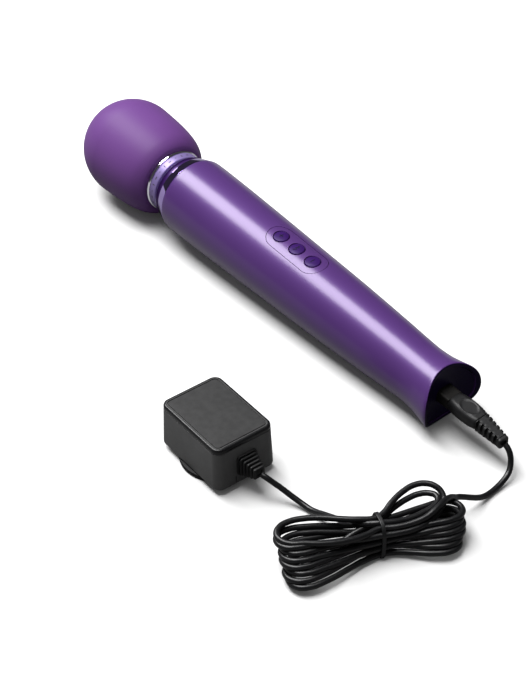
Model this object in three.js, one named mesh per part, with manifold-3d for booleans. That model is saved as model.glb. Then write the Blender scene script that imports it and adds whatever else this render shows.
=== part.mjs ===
// Handheld wand massager with its charging lead and mains adapter.
// Millimetres, +Z up. The wand lies on its head and on the rim of its flared end, head towards +X.
// The lead runs from the socket in the flared end, through a tied hank, to the adapter.

import * as THREE from 'three';
import { mergeVertices } from 'three/addons/utils/BufferGeometryUtils.js';
import Module from 'manifold-3d';

const manifoldLibrary = await Module();
manifoldLibrary.setup();

// ---------------------------------------------------------------------------------------------
// Driving dimensions
// ---------------------------------------------------------------------------------------------

const GAP = 0.3;                       // gap between touching pieces
const ROUND = 32;                      // segments round the large shells
const FINE = 20;                       // segments round the small turned pieces

// Wand. A station is a distance along the axis towards the flared end, from a datum in the head.
const WAND_END = 330;
const HEAD_TIP = -3.1;                 // station of the round tip
const HEAD_RADIUS = 31.9;
const HEAD_CENTRE = HEAD_TIP + HEAD_RADIUS;
const HEAD_END = 71;                   // back lip of the silicone cover
const HEAD_LIP_RADIUS = 21.9;
const HEAD_SHOULDER = [                // station and radius behind the ball
  [40, 31.3], [50, 30.5], [58, 29.4], [64, 27.9], [68.5, 25.4],
];
const COVER_WALL = 3.2;
const CORE_WALL = 2.4;
const TRIM_RING = [71.3, 73.6];        // bright ring behind the head
const TRIM_RING_RADIUS = 20.9;
const BAND = [73.9, 79];               // collar band behind the bright ring
const BAND_RADIUS = 20.2;
const COLLAR_BORE = 16.5;
const NECK_PIVOT = 80.4;               // station of the neck's two hinge axes
const BEZEL = [81.3, 92.7];            // polished chamfer at the front of the handle
const BEZEL_RADII = [21.3, 24.85];
const SLEEVE_RADIUS = 18.5;
const HANDLE_WALL = 2.4;
const HANDLE_OUTLINE = [               // station and outer radius
  [93, 24.95], [97, 25.1], [108, 25], [130, 24.6], [165, 23.6], [200, 22.5],
  [235, 21.4], [270, 19.8], [292, 18.6], [303, 18.2], [312, 18.7], [319, 19.8], [324, 20.8],
  [328, 21.5], [330, 21.1],
];
const SCOOP_DEPTH = 8;                 // how far the end is scooped between its two side tips
const CAP_INSET = 0.6;                 // end cap's face below the rim
const CAP_INNER = 314;                 // station of the end cap's inner face
const REST_STATION = 322;              // lowest station of the flared rim
const WAND_ROLL = -0.06;               // it lies rolled a little, buttons towards the adapter

// Controls, on the wand's upper side.
const BUTTON_STATIONS = [180.5, 194.8, 209];
const BUTTON_NAMES = ['button_plus', 'button_pattern', 'button_minus'];
const SWITCH_NAMES = ['switch_plus', 'switch_pattern', 'switch_minus'];
const BUTTON_RADIUS = 4.8;
const BUTTON_HOLE = 5.15;
const BUTTON_PROUD = 0.55;
const BUTTON_FOOT = 17.7;              // height of a button's underside above the axis
const PANEL_LENGTH = 47;
const PANEL_WIDTH = 17.5;
const PANEL_DEPTH = 2.2;

// Drive train inside the head and the front of the handle.
const SHAFT_RADIUS = 3;
const SHAFT = [14.5, 72];
const WEIGHT = [31, 55];
const WEIGHT_RADIUS = 14;
const FRONT_BEARING = [15, 20];
const REAR_BEARING = [58, 63];
const BEARING_RADIUS = 7;
const MOTOR = [92, 130];
const MOTOR_RADIUS = 15;
const MOTOR_SHAFT_RADIUS = 2.2;

// Power pack and electronics.
const CELL_RADIUS = 9;
const CELL_LENGTH = 65;
const CELL_STARTS = [139, 205.5];
const CELL_DROP = 1.2;
const CHASSIS = [136.5, 274];
const CHASSIS_HALF = 11.2;
const CHASSIS_WALL = 1.6;
const CHASSIS_FLOOR = -12.5;
const BOARD = [152, 240];
const BOARD_BOTTOM = 9.8;
const BOARD_THICK = 1.6;

// Charging connector.
const SOCKET = [299, 313.7];
const SOCKET_RADIUS = 6.5;
const BARREL_RADIUS = 2.75;
const COLLAR = [316, 329];
const COLLAR_WIDTH = 10.4;
const COLLAR_LEVELS = [-3.7, 4];     // bottom and top, measured from the axis
const GRIP = [329, 351.2];
const RELIEF_END = 369;
const GRIP_WIDTHS = [11.4, 10.6, 6.6]; // at the collar, at the strain relief and at its end
const GRIP_BOTTOMS = [-4.3, -4, -5.5];
const GRIP_TOPS = [4.7, 4.3, 0.9];
const THUMB_STATION = 343.2;
const THUMB_HALF = [6.6, 4.3, 1.2];    // half length, half width and depth of the thumb recess
const RELIEF_FLANGE = [2.2, 7.8, 6.6]; // length, width and height of its squared end
const SLOT_COUNT = 5;
const SLOT_PITCH = 3.3;
const SLOT_LENGTH = 1.6;
const SLOT_DEPTH = 1.6;

// Cord.
const CORD_DIAMETER = 3.3;
const CORD_SIDES = 8;
const HANK_CENTRE = [-207.5, 93.5];
const HANK_HEADING = 1.218;            // angle of the hank's long axis from +X, radians
const HANK_HEIGHT = 23;
const HANK_LOBES = [[36.5, 1.5, 18], [-29, 2, 17.5]];   // centre along, across, and radius
const HANK_WAIST = 8.5;
const TIE_HALF = [9.6, 9.7];           // half width and half height inside the tie
const TIE_WALL = 1;
const TIE_WIDTH = 2.6;

// Adapter.
const ADAPTER_CENTRE = [-99.3, 114.4];
const ADAPTER_YAW = -0.03;
const ADAPTER_SIZE = [54.2, 39.7];
const ADAPTER_BOTTOM = 3.4;
const ADAPTER_HEIGHT = 28.2;
const ADAPTER_DRAFT = [0.04, 0.034];   // share of the half size lost from bottom to top
const ADAPTER_CORNER = 5;
const ADAPTER_WALL = 2;
const LID_HEIGHT = 3;
const BOSS_RADIUS = 21.5;
const ADAPTER_EXIT_Z = 15.5;
const ADAPTER_RELIEF_LENGTH = 11;

// ---------------------------------------------------------------------------------------------
// Materials
// ---------------------------------------------------------------------------------------------

const finish = (color, roughness, metalness) => ({ color, roughness, metalness });

const SATIN_PURPLE = finish(0x4b2a86, 0.35, 0.55);
const SILICONE_PURPLE = finish(0x43227c, 0.6, 0);
const DARK_PURPLE = finish(0x241447, 0.3, 0.3);
const LILAC_CHROME = finish(0x9a86c8, 0.12, 1);
const PLASTIC_BLACK = finish(0x1c1c1e, 0.45, 0);
const CORD_BLACK = finish(0x141415, 0.3, 0);
const LABEL_GREY = finish(0x343436, 0.75, 0);
const NATURAL_PLASTIC = finish(0xc9c6bd, 0.5, 0);
const STEEL = finish(0xb4b6ba, 0.3, 1);
const BRASS = finish(0xb5924c, 0.3, 1);
const BOARD_GREEN = finish(0x1f5a37, 0.5, 0);
const CELL_BLUE = finish(0x2e5d9c, 0.4, 0);
const SOFT_GREY = finish(0x55555a, 0.7, 0);
const COPPER = finish(0x8d5a3a, 0.4, 0.6);

// ---------------------------------------------------------------------------------------------
// Geometry helpers
// ---------------------------------------------------------------------------------------------

function signedVolume(geometry) {
  const p = geometry.attributes.position;
  const index = geometry.index.array;
  const [a, b, c] = [new THREE.Vector3(), new THREE.Vector3(), new THREE.Vector3()];
  let volume = 0;
  for (let i = 0; i < index.length; i += 3) {
    a.fromBufferAttribute(p, index[i]);
    b.fromBufferAttribute(p, index[i + 1]);
    c.fromBufferAttribute(p, index[i + 2]);
    volume += a.dot(b.cross(c)) / 6;
  }
  return volume;
}

// Shares the vertices, drops triangles of no area and turns the faces outwards.
function closed(geometry) {
  const bare = geometry.clone();
  bare.deleteAttribute('normal');
  bare.deleteAttribute('uv');
  const merged = mergeVertices(bare, 1e-4);
  const source = merged.index.array;
  const kept = [];
  for (let i = 0; i < source.length; i += 3) {
    const [a, b, c] = [source[i], source[i + 1], source[i + 2]];
    if (a !== b && b !== c && a !== c) kept.push(a, b, c);
  }
  merged.setIndex(kept);
  if (signedVolume(merged) < 0) {
    for (let i = 0; i < kept.length; i += 3) {
      [kept[i + 1], kept[i + 2]] = [kept[i + 2], kept[i + 1]];
    }
    merged.setIndex(kept);
  }
  return merged;
}

function solid(geometry) {
  const merged = closed(geometry);
  return new manifoldLibrary.Manifold(new manifoldLibrary.Mesh({
    numProp: 3,
    vertProperties: new Float32Array(merged.attributes.position.array),
    triVerts: new Uint32Array(merged.index.array),
  }));
}

function geometryOf(body) {
  const result = body.getMesh();
  const geometry = new THREE.BufferGeometry();
  geometry.setAttribute('position', new THREE.BufferAttribute(result.vertProperties, 3));
  geometry.setIndex(new THREE.BufferAttribute(result.triVerts, 1));
  return geometry;
}

function cut(base, ...tools) {
  let body = solid(base);
  for (const tool of tools) body = body.subtract(solid(tool));
  return geometryOf(body);
}

function join(base, ...others) {
  let body = solid(base);
  for (const other of others) body = body.add(solid(other));
  return geometryOf(body);
}

function common(first, second) {
  return geometryOf(solid(first).intersect(solid(second)));
}

// A turned piece about the wand's axis. The profile holds [station, radius] pairs.
function turned(profile, segments = FINE) {
  const points = profile.map(([station, radius]) => new THREE.Vector2(radius, station));
  const geometry = new THREE.LatheGeometry(points, segments);
  geometry.rotateZ(Math.PI / 2);
  return closed(geometry);
}

// A turned ring or tube between two stations.
function ring(from, to, inner, outer, segments = FINE) {
  const profile = [[from, inner], [from, outer], [to, outer], [to, inner], [from, inner]];
  return turned(profile, segments);
}

function disc(from, to, radius, segments = FINE) {
  return turned([[from, 0], [from, radius], [to, radius], [to, 0]], segments);
}

// A block in the wand's frame, between two stations.
function block(from, to, width, bottom, top, across = 0) {
  const geometry = new THREE.BoxGeometry(to - from, width, top - bottom);
  geometry.translate(-(from + to) / 2, across, (bottom + top) / 2);
  return closed(geometry);
}

function roundedShape(length, width, radius) {
  const [a, b] = [length / 2, width / 2];
  const shape = new THREE.Shape();
  shape.moveTo(-a + radius, -b);
  shape.lineTo(a - radius, -b);
  shape.absarc(a - radius, -b + radius, radius, -Math.PI / 2, 0);
  shape.lineTo(a, b - radius);
  shape.absarc(a - radius, b - radius, radius, 0, Math.PI / 2);
  shape.lineTo(-a + radius, b);
  shape.absarc(-a + radius, b - radius, radius, Math.PI / 2, Math.PI);
  shape.lineTo(-a, -b + radius);
  shape.absarc(-a + radius, -b + radius, radius, Math.PI, 1.5 * Math.PI);
  return shape;
}

function prism(shape, bottom, height, curveSegments = 5) {
  const geometry = new THREE.ExtrudeGeometry(shape, {
    depth: height, bevelEnabled: false, curveSegments,
  });
  geometry.translate(0, 0, bottom);
  return closed(geometry);
}

function tube(points, diameter, steps) {
  const path = new THREE.CatmullRomCurve3(points.map((p) => new THREE.Vector3(...p)));
  const section = new THREE.Shape();
  for (let i = 0; i < CORD_SIDES; i += 1) {
    const angle = ((i + 0.5) * 2 * Math.PI) / CORD_SIDES;
    const [x, y] = [Math.cos(angle) * diameter / 2, Math.sin(angle) * diameter / 2];
    if (i === 0) section.moveTo(x, y);
    else section.lineTo(x, y);
  }
  section.closePath();
  return closed(new THREE.ExtrudeGeometry(section, {
    steps, bevelEnabled: false, extrudePath: path,
  }));
}

function mesh(name, geometry, look, parent) {
  const piece = new THREE.Mesh(geometry, new THREE.MeshStandardMaterial(look));
  piece.name = name;
  parent.add(piece);
  return piece;
}

// ---------------------------------------------------------------------------------------------
// Shared outlines
// ---------------------------------------------------------------------------------------------

const handleCurve = new THREE.SplineCurve(
  HANDLE_OUTLINE.map(([station, radius]) => new THREE.Vector2(station, radius)),
);
const handlePoints = handleCurve.getPoints(18).map((p) => [p.x, p.y]);

function handleRadius(station) {
  const after = handlePoints.findIndex(([s]) => s >= station);
  const [s1, r1] = handlePoints[Math.max(after, 1)];
  const [s0, r0] = handlePoints[Math.max(after, 1) - 1];
  return r0 + ((r1 - r0) * (station - s0)) / (s1 - s0);
}

// The head's outline, moved inwards by an inset, from the tip to a last station.
function headOutline(inset, last, lastRadius) {
  const points = [];
  const arcSteps = 6;
  for (let i = 0; i <= arcSteps; i += 1) {
    const angle = (i / arcSteps) * (Math.PI / 2);
    const radius = HEAD_RADIUS - inset;
    points.push([HEAD_CENTRE - radius * Math.cos(angle), i === 0 ? 0 : radius * Math.sin(angle)]);
  }
  for (const [station, radius] of HEAD_SHOULDER) points.push([station, radius - inset]);
  points.push([last, lastRadius]);
  return points;
}

function shellProfile(outer, inner) {
  return [...outer, ...inner.slice().reverse()];
}

// Upright cylinder that scoops the flared end, moved back by an offset.
function scoopTool(offset) {
  const tip = HANDLE_OUTLINE.at(-1)[1];
  const radius = (tip * tip + SCOOP_DEPTH * SCOOP_DEPTH) / (2 * SCOOP_DEPTH);
  const geometry = new THREE.CylinderGeometry(radius + offset, radius + offset, 80, 60);
  geometry.rotateX(Math.PI / 2);
  geometry.translate(-(WAND_END - SCOOP_DEPTH + radius), 0, 0);
  return geometry;
}

// ---------------------------------------------------------------------------------------------
// Head
// ---------------------------------------------------------------------------------------------

function headCover() {
  const outer = headOutline(0, HEAD_END, HEAD_LIP_RADIUS);
  const inner = headOutline(COVER_WALL, HEAD_END, HEAD_LIP_RADIUS - COVER_WALL);
  return turned(shellProfile(outer, inner), ROUND);
}

function headCore() {
  const lip = HEAD_LIP_RADIUS - COVER_WALL - GAP;
  const outer = headOutline(COVER_WALL + GAP, HEAD_END - GAP, lip);
  const inner = headOutline(COVER_WALL + GAP + CORE_WALL, HEAD_END - GAP, lip - CORE_WALL + 0.3);
  return turned(shellProfile(outer, inner), ROUND);
}

// Solid shaft with a half-disc weight on one side.
function eccentricShaft() {
  const weight = disc(...WEIGHT, WEIGHT_RADIUS, FINE);
  const keep = block(WEIGHT[0] - 1, WEIGHT[1] + 1, 2 * WEIGHT_RADIUS + 2, -WEIGHT_RADIUS - 1, 0);
  return join(disc(...SHAFT, SHAFT_RADIUS), common(weight, keep));
}

function bearingCarrier([from, to], radius) {
  return ring(from + 1, to - 1, BEARING_RADIUS + GAP, radius, FINE);
}

function trimRing() {
  const [from, to] = TRIM_RING;
  const middle = (from + to) / 2;
  return turned([
    [from, COLLAR_BORE], [from, TRIM_RING_RADIUS - 0.7], [from + 0.5, TRIM_RING_RADIUS - 0.15],
    [middle, TRIM_RING_RADIUS], [to - 0.5, TRIM_RING_RADIUS - 0.15], [to, TRIM_RING_RADIUS - 0.7],
    [to, COLLAR_BORE], [from, COLLAR_BORE],
  ], ROUND);
}

function collarBand() {
  const [from, to] = BAND;
  return turned([
    [from, COLLAR_BORE], [from, BAND_RADIUS - 0.3], [from + 0.4, BAND_RADIUS],
    [to - 0.6, BAND_RADIUS - 0.2], [to, BAND_RADIUS - 0.7], [to, COLLAR_BORE],
    [from, COLLAR_BORE],
  ], ROUND);
}

function buildHead(wand) {
  mesh('head_cover', headCover(), SILICONE_PURPLE, wand);
  mesh('head_core_shell', headCore(), NATURAL_PLASTIC, wand);
  mesh('head_front_carrier', bearingCarrier(FRONT_BEARING, 21.4), NATURAL_PLASTIC, wand);
  mesh('head_rear_carrier', bearingCarrier(REAR_BEARING, 21.2), NATURAL_PLASTIC, wand);
  const bore = SHAFT_RADIUS + GAP;
  mesh('head_front_bearing', ring(...FRONT_BEARING, bore, BEARING_RADIUS), STEEL, wand);
  mesh('head_rear_bearing', ring(...REAR_BEARING, bore, BEARING_RADIUS), STEEL, wand);
  mesh('eccentric_shaft', eccentricShaft(), STEEL, wand);
  mesh('head_trim_ring', trimRing(), LILAC_CHROME, wand);
  mesh('head_collar_band', collarBand(), LILAC_CHROME, wand);
  mesh('neck_stub', ring(HEAD_END, BAND[1] - 0.5, 10, 14), NATURAL_PLASTIC, wand);
}

// ---------------------------------------------------------------------------------------------
// Neck
// ---------------------------------------------------------------------------------------------

// Rubber sleeve that bridges the gap between the collar band and the bezel.
function flexSleeve() {
  const front = 15.9;
  const wall = 1.5;
  return turned([
    [75, front - wall], [75, front], [79.3, front], [79.5, SLEEVE_RADIUS],
    [80.7, SLEEVE_RADIUS], [86, SLEEVE_RADIUS], [86, SLEEVE_RADIUS - wall],
    [81, SLEEVE_RADIUS - wall], [80.4, front - wall], [75, front - wall],
  ], ROUND);
}

function neckBezel() {
  const [from, to] = BEZEL;
  const bore = SLEEVE_RADIUS + GAP;
  return turned([
    [from, bore], [from, BEZEL_RADII[0] - 0.5], [from + 0.4, BEZEL_RADII[0]],
    [to, BEZEL_RADII[1]], [to, bore], [from, bore],
  ], ROUND);
}

function buildNeck(wand) {
  mesh('flex_sleeve', flexSleeve(), DARK_PURPLE, wand);
  mesh('neck_swivel_ring', ring(NECK_PIVOT - 1, NECK_PIVOT + 2, 7, 12.5), STEEL, wand);
  mesh('flex_coupling', ring(SHAFT[1] + GAP, 87.7, 2.4, 4), STEEL, wand);
  mesh('neck_bezel', neckBezel(), LILAC_CHROME, wand);
}

// ---------------------------------------------------------------------------------------------
// Handle
// ---------------------------------------------------------------------------------------------

function controlOutline(grow) {
  const width = PANEL_WIDTH + 2 * grow;
  return roundedShape(PANEL_LENGTH + 2 * grow, width, width / 2 - 0.01);
}

function controlTool(grow, bottom) {
  const geometry = prism(controlOutline(grow), bottom, 40, 8);
  geometry.translate(-BUTTON_STATIONS[1], 0, 0);
  return geometry;
}

function handleShell() {
  const last = handlePoints.length - 1;
  const inner = handlePoints
    .filter((point, i) => i % 3 === 0 || i > last - 4)
    .map(([station, radius]) => [station, radius - HANDLE_WALL]);
  const wall = turned([...handlePoints, ...inner.reverse(), handlePoints[0]], ROUND);
  return cut(wall, scoopTool(0), controlTool(GAP, 5));
}

function controlPanel() {
  const stations = [-1, -0.5, 0, 0.5, 1].map((k) => BUTTON_STATIONS[1] + k * PANEL_LENGTH * 0.55);
  const outer = stations.map((s) => [s, handleRadius(s) - 0.1]);
  const inner = stations.map((s) => [s, handleRadius(s) - PANEL_DEPTH]);
  const wall = turned([...outer, ...inner.reverse(), outer[0]], 64);
  const holes = BUTTON_STATIONS.map((station) => {
    const hole = new THREE.CylinderGeometry(BUTTON_HOLE, BUTTON_HOLE, 30, FINE);
    hole.rotateX(Math.PI / 2);
    hole.translate(-station, 0, 20);
    return hole;
  });
  return cut(common(wall, controlTool(0, 5)), ...holes);
}

function buttonAt(station) {
  const top = handleRadius(station) + BUTTON_PROUD;
  const profile = [
    [0, BUTTON_FOOT], [BUTTON_RADIUS, BUTTON_FOOT], [BUTTON_RADIUS, top - 1.1],
    [BUTTON_RADIUS - 0.5, top - 0.45], [BUTTON_RADIUS - 1.8, top - 0.1], [0, top],
  ].map(([radius, height]) => new THREE.Vector2(radius, height));
  const geometry = new THREE.LatheGeometry(profile, FINE);
  geometry.rotateX(Math.PI / 2);
  geometry.translate(-station, 0, 0);
  return geometry;
}

// Channel that carries the cells and the board.
function chassis() {
  const body = block(...CHASSIS, 2 * CHASSIS_HALF, CHASSIS_FLOOR, BOARD_BOTTOM - GAP);
  const room = block(
    CHASSIS[0] + CHASSIS_WALL, CHASSIS[1] - CHASSIS_WALL,
    2 * (CHASSIS_HALF - CHASSIS_WALL), CHASSIS_FLOOR + CHASSIS_WALL, 40,
  );
  return cut(body, room);
}

function cellAt(start) {
  const geometry = disc(start, start + CELL_LENGTH, CELL_RADIUS);
  geometry.translate(0, 0, -CELL_DROP);
  return geometry;
}

function endCap() {
  const stations = [CAP_INNER, 318, 322, 326, WAND_END + 1];
  const outline = stations.map((s) => {
    const reached = Math.min(s, WAND_END);
    return [s, handleRadius(reached) - HANDLE_WALL - GAP];
  });
  const plug = turned([[CAP_INNER, 0], ...outline, [WAND_END + 1, 0]], ROUND);
  const [bottom, top] = COLLAR_LEVELS;
  const width = COLLAR_WIDTH + 2 * GAP;
  const mouth = block(CAP_INNER - 1, WAND_END + 2, width, bottom - GAP, top + GAP);
  return cut(plug, scoopTool(CAP_INSET), mouth);
}

function buildHandle(wand) {
  mesh('handle_shell', handleShell(), SATIN_PURPLE, wand);
  mesh('control_panel', controlPanel(), DARK_PURPLE, wand);
  BUTTON_STATIONS.forEach((station, i) => {
    mesh(BUTTON_NAMES[i], buttonAt(station), DARK_PURPLE, wand);
    const top = BOARD_BOTTOM + BOARD_THICK;
    mesh(SWITCH_NAMES[i], block(station - 3, station + 3, 6, top + GAP, top + 3.8), STEEL, wand);
  });
  const keypad = roundedShape(44, 14, 3);
  const membrane = prism(keypad, 15.5, 1, 3);
  membrane.translate(-BUTTON_STATIONS[1], 0, 0);
  mesh('keypad_membrane', membrane, SOFT_GREY, wand);
  mesh('main_board', block(...BOARD, 2 * CHASSIS_HALF, BOARD_BOTTOM, BOARD_BOTTOM + BOARD_THICK),
    BOARD_GREEN, wand);
  mesh('chassis', chassis(), NATURAL_PLASTIC, wand);
  mesh('battery_cell_front', cellAt(CELL_STARTS[0]), CELL_BLUE, wand);
  mesh('battery_cell_rear', cellAt(CELL_STARTS[1]), CELL_BLUE, wand);
  mesh('neck_mount', ring(84, 91.5, 5, 16.5), NATURAL_PLASTIC, wand);
  const can = turned([
    [MOTOR[0], MOTOR_SHAFT_RADIUS + GAP], [MOTOR[0], MOTOR_RADIUS], [MOTOR[1], MOTOR_RADIUS],
    [MOTOR[1], 0], [MOTOR[1] - 4, 0], [MOTOR[1] - 4, MOTOR_SHAFT_RADIUS + GAP],
    [MOTOR[0], MOTOR_SHAFT_RADIUS + GAP],
  ], FINE);
  mesh('motor_can', can, STEEL, wand);
  mesh('motor_mount_ring', ring(108, 112, MOTOR_RADIUS + GAP, 22), NATURAL_PLASTIC, wand);
  mesh('motor_shaft', disc(88, MOTOR[1] - 4.5, MOTOR_SHAFT_RADIUS), STEEL, wand);
  mesh('end_cap', endCap(), DARK_PURPLE, wand);
}

// ---------------------------------------------------------------------------------------------
// Charging connector
// ---------------------------------------------------------------------------------------------

// A tapered block between two stations, with a width, a bottom and a top at each of its ends.
function taperedBlock(from, to, widths, bottoms, tops) {
  const quad = (low, high) => {
    const shape = new THREE.Shape();
    shape.moveTo(-from, low[0]);
    shape.lineTo(-to, low[1]);
    shape.lineTo(-to, high[1]);
    shape.lineTo(-from, high[0]);
    return prism(shape, -20, 40);
  };
  const plan = quad(widths.map((w) => -w / 2), widths.map((w) => w / 2));
  const side = quad(bottoms, tops);
  side.rotateX(Math.PI / 2);
  return common(plan, side);
}

function connectorBody() {
  const ends = (values) => values.slice(0, 2);
  const grip = taperedBlock(...GRIP, ends(GRIP_WIDTHS), ends(GRIP_BOTTOMS), ends(GRIP_TOPS));
  const collar = block(COLLAR[0], COLLAR[1] + 0.5, COLLAR_WIDTH, ...COLLAR_LEVELS);
  const barrel = disc(SOCKET[0] + 2.5, COLLAR[0] + 1, BARREL_RADIUS, 16);
  const thumb = new THREE.SphereGeometry(1, 20, 12);
  thumb.scale(...THUMB_HALF);
  thumb.translate(-THUMB_STATION, 0, (GRIP_TOPS[0] + GRIP_TOPS[1]) / 2 + 0.2);
  return cut(join(grip, collar, barrel), thumb);
}

function connectorRelief() {
  const from = GRIP[1] + GAP;
  const ends = (values) => values.slice(1);
  const body = taperedBlock(
    from, RELIEF_END, ends(GRIP_WIDTHS), ends(GRIP_BOTTOMS), ends(GRIP_TOPS),
  );
  const [, startWidth, endWidth] = GRIP_WIDTHS;
  const slots = [];
  for (let i = 0; i < SLOT_COUNT; i += 1) {
    const at = from + 0.7 + i * SLOT_PITCH;
    const share = (at - from) / (RELIEF_END - from);
    const half = (startWidth + (endWidth - startWidth) * share) / 2;
    const [bottom, top] = [GRIP_BOTTOMS[1] + 1.6, GRIP_TOPS[1] - 1.6 - 2 * share];
    for (const side of [-1, 1]) {
      slots.push(block(at, at + SLOT_LENGTH, 6, bottom, top, side * (half + 3 - SLOT_DEPTH)));
    }
  }
  const [length, width, height] = RELIEF_FLANGE;
  const middle = (GRIP_BOTTOMS[2] + GRIP_TOPS[2]) / 2;
  const flange = block(
    RELIEF_END - length, RELIEF_END, width, middle - height / 2, middle + height / 2,
  );
  return join(cut(body, ...slots), flange);
}

function socketBody() {
  const bore = BARREL_RADIUS + 0.35;
  return turned([
    [SOCKET[0], 0], [SOCKET[0], SOCKET_RADIUS], [SOCKET[1], SOCKET_RADIUS], [SOCKET[1], bore],
    [SOCKET[0] + 2, bore], [SOCKET[0] + 2, 0],
  ], FINE);
}

function buildConnector(wand) {
  mesh('charge_socket', socketBody(), PLASTIC_BLACK, wand);
  mesh('dc_connector', connectorBody(), PLASTIC_BLACK, wand);
  mesh('connector_relief', connectorRelief(), PLASTIC_BLACK, wand);
}

// ---------------------------------------------------------------------------------------------
// Cord
// ---------------------------------------------------------------------------------------------

const CORD_REST = CORD_DIAMETER / 2;

const WAND_LEAD_ROUTE = [
  [-204.9, 0, 16.2], [-207.6, 0.2, 14.6], [-210, 0.7, 11.8], [-211.9, 2, 8.4],
  [-213.3, 3.9, 6.2], [-214.3, 6.2, 4.6], [-215.4, 11.2, 2.9], [-216.2, 17, 2],
  [-216.8, 22.5, 2], [-217.2, 27.5, 3.2], [-217.3, 32, 5.4], [-217.1, 36.5, 8.2],
  [-216.6, 41, 11], [-216.2, 44.5, 13], [-216.1, 46.6, 14],
];

const ADAPTER_LEAD_ROUTE = [
  [-138.9, 115.4, ADAPTER_EXIT_Z], [-141.9, 114.2, 14.4], [-144.8, 112.2, 12], [-148.6, 109.8, 9.2],
  [-152.8, 107.8, 6.6], [-156.9, 106.1, 4.6], [-161, 104.8, 3.2], [-165.5, 103.9, 2.7],
  [-170, 103.5, 3.8], [-175, 103.3, 6], [-181.7, 103.2, 9], [-186, 102.9, 10.7],
  [-189.5, 102.5, 12],
];

function hankSolid() {
  const [left, right] = HANK_LOBES;
  const shape = new THREE.Shape();
  shape.absarc(left[0], left[1], left[2], -Math.PI / 2, Math.PI / 2);
  shape.bezierCurveTo(20, left[1] + left[2], 16, HANK_WAIST, 0, HANK_WAIST);
  shape.bezierCurveTo(-12, HANK_WAIST, -14, right[1] + right[2], right[0], right[1] + right[2]);
  shape.absarc(right[0], right[1], right[2], Math.PI / 2, 1.5 * Math.PI);
  shape.bezierCurveTo(-14, right[1] - right[2], -12, -HANK_WAIST, 0, -HANK_WAIST);
  shape.bezierCurveTo(16, -HANK_WAIST, 20, left[1] - left[2], left[0], left[1] - left[2]);
  const pile = prism(shape, 0, HANK_HEIGHT, 8);
  const channelAt = (middle) => {
    const channel = new THREE.BoxGeometry(TIE_WIDTH + 2 * GAP, 60, HANK_HEIGHT);
    channel.translate(0, 0, middle);
    return channel;
  };
  const under = TIE_WALL + GAP - HANK_HEIGHT / 2;
  const over = TIE_WALL + 2 * TIE_HALF[1] - GAP + HANK_HEIGHT / 2;
  return cut(pile, channelAt(under), channelAt(over));
}

function cordTie() {
  const [halfWidth, halfHeight] = TIE_HALF;
  const band = (grow) => roundedShape(2 * (halfHeight + grow), 2 * (halfWidth + grow), 1.2 + grow);
  const outer = prism(band(TIE_WALL), -TIE_WIDTH / 2, TIE_WIDTH, 4);
  const inner = prism(band(0), -TIE_WIDTH, 2 * TIE_WIDTH, 4);
  const geometry = cut(outer, inner);
  geometry.rotateX(Math.PI / 2);
  geometry.rotateZ(Math.PI / 2);
  geometry.translate(0, 0, halfHeight + TIE_WALL);
  return geometry;
}

function buildCord(root) {
  mesh('cord_wand_lead', tube(WAND_LEAD_ROUTE, CORD_DIAMETER, 30), CORD_BLACK, root);
  mesh('cord_adapter_lead', tube(ADAPTER_LEAD_ROUTE, CORD_DIAMETER, 24), CORD_BLACK, root);
  const hank = new THREE.Group();
  hank.position.set(...HANK_CENTRE, 0);
  hank.rotation.z = HANK_HEADING;
  mesh('cord_hank', hankSolid(), CORD_BLACK, hank);
  mesh('cord_tie', cordTie(), CORD_BLACK, hank);
  root.add(hank);
}

// ---------------------------------------------------------------------------------------------
// Adapter
// ---------------------------------------------------------------------------------------------

// Draws the sides in towards the top, in proportion to height above the base.
function withDraft(geometry) {
  const position = geometry.attributes.position;
  for (let i = 0; i < position.count; i += 1) {
    const share = (position.getZ(i) - ADAPTER_BOTTOM) / ADAPTER_HEIGHT;
    position.setX(i, position.getX(i) * (1 - ADAPTER_DRAFT[0] * share));
    position.setY(i, position.getY(i) * (1 - ADAPTER_DRAFT[1] * share));
  }
  return geometry;
}

function adapterLayer(inset, bottom, height) {
  const [length, width] = ADAPTER_SIZE;
  const corner = ADAPTER_CORNER - Math.min(inset, ADAPTER_CORNER - 1);
  const shape = roundedShape(length - 2 * inset, width - 2 * inset, corner);
  return withDraft(prism(shape, bottom, height));
}

function adapterCase() {
  const height = ADAPTER_HEIGHT - LID_HEIGHT - GAP;
  const outside = adapterLayer(0, ADAPTER_BOTTOM, height);
  const inside = adapterLayer(ADAPTER_WALL, ADAPTER_BOTTOM + ADAPTER_WALL, height);
  return cut(outside, inside);
}

function adapterLid() {
  const top = ADAPTER_BOTTOM + ADAPTER_HEIGHT;
  const plate = adapterLayer(0, top - LID_HEIGHT, LID_HEIGHT - 1);
  const crown = adapterLayer(0.9, top - 1.5, 1.5);
  const recess = adapterLayer(2.2, top - 0.9, 2);
  return cut(join(plate, crown), recess);
}

function adapterBoss() {
  const plate = new THREE.CylinderGeometry(BOSS_RADIUS, BOSS_RADIUS, ADAPTER_BOTTOM - GAP, 36);
  plate.rotateX(Math.PI / 2);
  plate.translate(0, 0, (ADAPTER_BOTTOM - GAP) / 2);
  const slots = [-1, 1].map((side) => {
    const slot = new THREE.BoxGeometry(3, 8, 2.2);
    slot.translate(side * 7, 0, 0.6);
    return slot;
  });
  return cut(plate, ...slots);
}

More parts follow.
